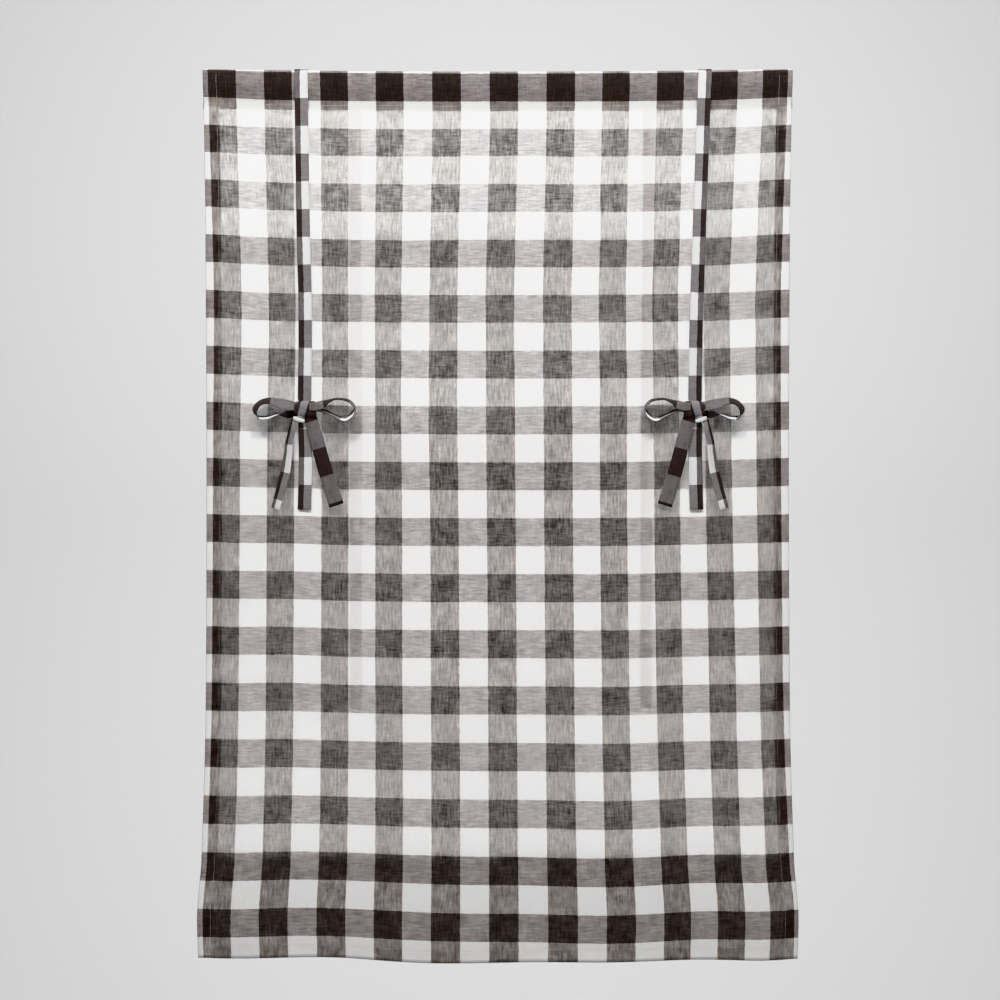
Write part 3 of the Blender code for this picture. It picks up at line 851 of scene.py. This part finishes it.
def strap(name, table, outer):
    """A strap: up behind the pocket, over its top and down the front to a free end.

    outer is -1 where its outer edge is the left one, and 1 where it is the right one.
    """
    x = table[0][1]
    lift = rise(x / soft(HANG, 1, 0), 0)
    centre = CLOTH + POCKET_ROOM / 2
    off = CLOTH + GAP + SOLID_BAND / 2
    radius = POCKET_ROOM / 2 + off
    path = [
        Vector((x, pocket_half(drop) + off, lift - drop))
        for drop in np.linspace(STRAP_BACK, POCKET_STRAIGHT, STRAP_BACK_STEPS)
    ]
    for turn in np.linspace(0, math.pi, STRAP_TURN_STEPS):
        path.append(Vector((x, radius * math.cos(turn), lift - centre + radius * math.sin(turn))))
    drops = np.linspace(POCKET_STRAIGHT, STRAP_DROP, STRAP_STEPS)
    widths = [BAND] * len(path) + [soft(STRAP_WIDTHS, 1, drop) for drop in drops]
    path += [strap_line(table, drop) for drop in drops]
    first = float(lengths_along(path)[-1]) - (STRAP_DROP - STRAP_FIRST_ROW)

    def flat(length, across):
        below = length - first
        from_knot = below + STRAP_FIRST_ROW - KNOT_DROP
        drawn_up = STRAP_DRAWN_UP * fade(from_knot, -BAND, BAND)
        return BLACK_EDGED - outer * across, (below + drawn_up) * CHECK / STRAP_PITCH

    bm = bmesh.new()
    band(bm, path, [RIGHT] * len(path), widths, flat)
    lines = []
    for side in (-1, 1):
        line = []
        for i in range(1, len(path) - 1):
            outward = (path[i + 1] - path[i - 1]).cross(RIGHT).normalized()
            line.append(path[i] + RIGHT * side * (widths[i] / 2 - STRAP_SEAM) + outward * BAND_THICK / 2)
        lines.append(line)
    stitches(name + "_stitches", "strap_cotton", GREY_THREAD, lines)
    return folded_band(name + "_band", bm, BAND_COTTON, name)


def turned_forward(side, degrees):
    """A band's side, turned towards the front."""
    return side * math.cos(math.radians(degrees)) + FRONT * math.sin(math.radians(degrees))


def back_tie(name, table):
    """A tie that hangs free behind the cloth from the pocket's stitches."""
    start, x = table[0][:2]
    lift = rise(x / soft(HANG, 1, start), start)
    top = CLOTH + SLIT + GAP + SOLID_BAND / 2
    path, sides = [], []
    for drop in np.linspace(start, BACK_TIE_END, BACK_TIE_STEPS):
        x, behind, turn = (soft(table, column, drop) for column in (1, 2, 3))
        path.append(Vector((x, top + behind, lift - drop)))
        sides.append(turned_forward(RIGHT, turn))

    def flat(length, across):
        return BLACK_EDGED + across, length + BACK_TIE_CUT

    bm = bmesh.new()
    band(bm, path, sides, [BACK_TIE_WIDE] * len(path), flat)
    return folded_band(name + "_band", bm, TIE_COTTON, name)


def bow(name, table, mirrored, reach):
    """A tie knotted round a strap in a bow: two loops, two free tails and the knot.

    reach is how far aside the outer loop and the wide tail lie, as a share of their tables.
    """
    bm = bmesh.new()
    middle = strap_line(table, KNOT_DROP)
    middle.x += mirrored * KNOT_ASIDE

    def spot(point):
        line = strap_line(table, max(KNOT_DROP - point.z, KNOT_DROP))
        return Vector((middle.x + point.x, line.y - point.y, middle.z + point.z))

    def ribbon(rows, steps, base, aside, stripe, way, cut, pace):
        counted = tuple((i, *row) for i, row in enumerate(rows))
        path, sides, widths = [], [], []
        for at in np.linspace(0, len(rows) - 1, steps + 1):
            right, forward, up, turn, lean, width = (soft(counted, column, at) for column in range(1, 7))
            side = turned_forward(base, turn) + RIGHT * lean
            path.append(spot(Vector((mirrored * right * aside, forward, up))))
            sides.append(Vector((mirrored * side.x, side.y, side.z)))
            widths.append(width)

        def flat(length, across):
            return stripe + way * across, cut + pace * length

        # Each ribbon starts with its good side to the front
        good = (path[1] - path[0]).cross(sides[0]).dot(FRONT) > 0
        faces = band(bm, path, sides, widths, flat, BAND_CUP if good else -BAND_CUP)
        if not good:
            bmesh.ops.reverse_faces(bm, faces=faces)

    # Each ribbon's rows, steps, the way its width points unturned, its reach aside; then on the flat
    # cloth: its middle across, 1 or -1 for the way of its width, its start, its pace along
    ribbons = (
        (OUTER_LOOP, 80, UP, reach, BLACK_STRIPE, -1, OUTER_LOOP_CUT, 1.0),
        (INNER_LOOP, 80, UP, 1.0, BLACK_STRIPE, -1, INNER_LOOP_CUT, 1.0),
        (WIDE_TAIL, 40, RIGHT, reach, BLACK_STRIPE, 1, WIDE_TAIL_CUT, 1.0),
        (NARROW_TAIL, 48, RIGHT, 1.0, BLACK_EDGED, 1, NARROW_TAIL_CUT, 1.0),
        (KNOT_OUTSIDE, 20, RIGHT, 1.0, BLACK_STRIPE, 1, BLACK_STRIPE, 0.5),
        (KNOT_INSIDE, 20, RIGHT, 1.0, BLACK_STRIPE, 1, BLACK_STRIPE, 0.5),
        (KNOT_FOLD, 20, UP, 1.0, WHITE_STRIPE, 1, WHITE_STRIPE, 1.0),
        (KNOT_WRAP, 24, RIGHT, 1.0, WHITE_STRIPE, 1, KNOT_WRAP_CUT, 1.0),
    )
    for row in ribbons:
        ribbon(*row)
    piece = folded_band(name + "_ribbon", bm, BAND_COTTON, name)
    piece.data.materials.append(BAND_BACK)
    piece.modifiers["layers"].material_offset = 1
    return piece


def cloth_stitches():
    """The pocket's seam, the side hems and the bottom hem."""
    off = FRONT * (SHEET / 2)
    for name, side in (("left_hem_stitches", -1), ("right_hem_stitches", 1)):
        drops = np.linspace(SIDE_SEAM_TOP, DROP - SIDE_SEAM_END, SIDE_SEAM_STEPS)
        line = [on_front(side * (1 - SIDE_SEAM / soft(HANG, 1, d)), d) + off for d in drops]
        stitches(name, "check_cotton", WHITE_THREAD, [line])
    places = np.linspace(-SEAM_REACH, SEAM_REACH, SEAM_STEPS)
    level = (("pocket_stitches", POCKET_DEPTH - POCKET_SEAM), ("hem_stitches", DROP - HEM_SEAM))
    for name, drop in level:
        line = [on_front(across, drop) + off for across in places]
        stitches(name, "check_cotton", WHITE_THREAD, [line])


# The studio: paper behind and below
PAPER_BACK = 4.6  # how far behind the shade the paper hangs
PAPER_FLOOR = -3.0
PAPER_FRONT = -9.0
PAPER_TOP = 5.0
PAPER_WIDE = 18.0
SWEEP = 2.2  # the radius of the paper's bend from floor to wall
SWEEP_STEPS = 40

# A light tent round it all
TENT_FRONT = 0.27
TENT_BEHIND = 0.12
TENT_EDGE = 0.25  # its light changes softly from this far behind overhead to as far in front
PAPER_SEEN = 0.77  # how bright the tent itself looks, where the paper ends

CAMERA_PLACE = (0.0042, -3.4, -0.775)
SENSOR_MM = 36
LENS_MM = 67.68

# Name, place, what it points at, width and height, power, spread in degrees, colour. The light from
# behind the top of the cloth is daylight, a little cooler.
PLAIN = (1.0, 1.0, 1.0)
COOL = (0.95, 1.0, 1.0)
LAMPS = (
    ("left_softbox", (-0.9, -2.6, 2.6), (-0.2, 0, -0.8), (0.75, 0.75), 196, 180, PLAIN),
    ("right_softbox", (0.9, -2.6, 2.6), (0.2, 0, -0.8), (0.75, 0.75), 196, 180, PLAIN),
    ("low_fill", (0, -1.3, -2.5), (0, 0, -1.55), (1.4, 0.4), 5, 180, PLAIN),
    ("backdrop_wash", (0, 1.0, 0.3), (0, PAPER_BACK, 0.1), (5.0, 4.0), 86, 180, PLAIN),
    ("back_glow", (0, 0.08, -0.7285), (0, 0, -0.7285), (1.10, 1.355), 2.34, 17, PLAIN),
    ("back_glow_high", (0, 0.14, -0.35), (0, 0, -0.35), (1.10, 0.60), 0.57, 40, COOL),
    ("back_glow_top", (0, 0.10, -0.165), (0, 0, -0.165), (1.10, 0.26), 0.56, 34, COOL),
)


def paper_sweep():
    """Pale paper, one sweep from the floor up to the wall behind."""
    bm = bmesh.new()
    turns = np.linspace(0, math.pi / 2, SWEEP_STEPS + 1)
    back, floor = PAPER_BACK - SWEEP, PAPER_FLOOR + SWEEP
    bend = [(back + SWEEP * math.sin(turn), floor - SWEEP * math.cos(turn)) for turn in turns]
    outline = [(PAPER_FRONT, PAPER_FLOOR), *bend, (PAPER_BACK, PAPER_TOP)]
    verts = [bm.verts.new((-PAPER_WIDE / 2, y, z)) for y, z in outline]
    edges = [bm.edges.new(pair) for pair in zip(verts, verts[1:], strict=False)]
    grown = bmesh.ops.extrude_edge_only(bm, edges=edges)
    moved = [v for v in grown["geom"] if isinstance(v, bmesh.types.BMVert)]
    bmesh.ops.translate(bm, verts=moved, vec=(PAPER_WIDE, 0, 0))
    mesh = bpy.data.meshes.new("backdrop")
    bm.to_mesh(mesh)
    bm.free()
    mesh.materials.append(paper_material())
    mesh.shade_smooth()
    backdrop = bpy.data.objects.new("backdrop", mesh)
    bpy.context.scene.collection.objects.link(backdrop)
    backdrop.visible_diffuse = False
    backdrop.visible_transmission = False


def light_tent():
    """Soft light from all round, brighter from the front than from behind the cloth."""
    world = bpy.data.worlds.new("studio")
    world.use_nodes = True
    tree = world.node_tree
    tree.nodes.clear()
    ways = add(tree, "SeparateXYZ", {0: add(tree, "TexCoord").outputs["Generated"]}).outputs
    tent = {0: ways[1], 1: TENT_EDGE, 2: -TENT_EDGE, 3: TENT_BEHIND, 4: TENT_FRONT}
    strength = add(tree, "MapRange", tent, interpolation_type="SMOOTHSTEP")
    seen = add(tree, "LightPath").outputs["Is Camera Ray"]
    tone = add(tree, "Mix", {0: seen, 2: strength, 3: PAPER_SEEN}, data_type="FLOAT")
    glow = add(tree, "Background", {"Color": (1, 1, 1, 1), "Strength": tone})
    add(tree, "OutputWorld", {0: glow})
    bpy.context.scene.world = world


def lamps():
    """Two softboxes, a low fill and a wash on the paper, and soft light from behind the cloth."""
    for name, place, target, size, power, spread, colour in LAMPS:
        lamp = bpy.data.lights.new(name, "AREA")
        lamp.shape = "RECTANGLE"
        lamp.size, lamp.size_y = size
        lamp.energy = power
        lamp.color = colour
        lamp.spread = math.radians(spread)
        holder = bpy.data.objects.new(name, lamp)
        holder.location = place
        holder.rotation_euler = (Vector(target) - Vector(place)).to_track_quat("-Z", "Y").to_euler()
        holder.visible_camera = False
        bpy.context.scene.collection.objects.link(holder)


def camera():
    """Face on, about level with the shade's middle, with tones that keep white cloth white."""
    lens = bpy.data.cameras.new("camera")
    lens.sensor_width = SENSOR_MM
    lens.lens = LENS_MM
    holder = bpy.data.objects.new("camera", lens)
    holder.location = CAMERA_PLACE
    holder.rotation_euler = (math.radians(90), 0, 0)
    bpy.context.scene.collection.objects.link(holder)
    bpy.context.scene.camera = holder
    bpy.context.scene.view_settings.view_transform = "Khronos PBR Neutral"


cloth = check_cloth()
for name, table, outer in (("strap_left", STRAP_LEFT, -1), ("strap_right", STRAP_RIGHT, 1)):
    piece = strap(name, table, outer)
for name, table in (("back_tie_left", BACK_TIE_LEFT), ("back_tie_right", BACK_TIE_RIGHT)):
    piece = back_tie(name, table)
bows = (("bow_left", STRAP_LEFT, 1, 1.0), ("bow_right", STRAP_RIGHT, -1, 0.95))
for name, table, mirrored, reach in bows:
    piece = bow(name, table, mirrored, reach)

cloth_stitches()

paper_sweep()
light_tent()
lamps()
camera()
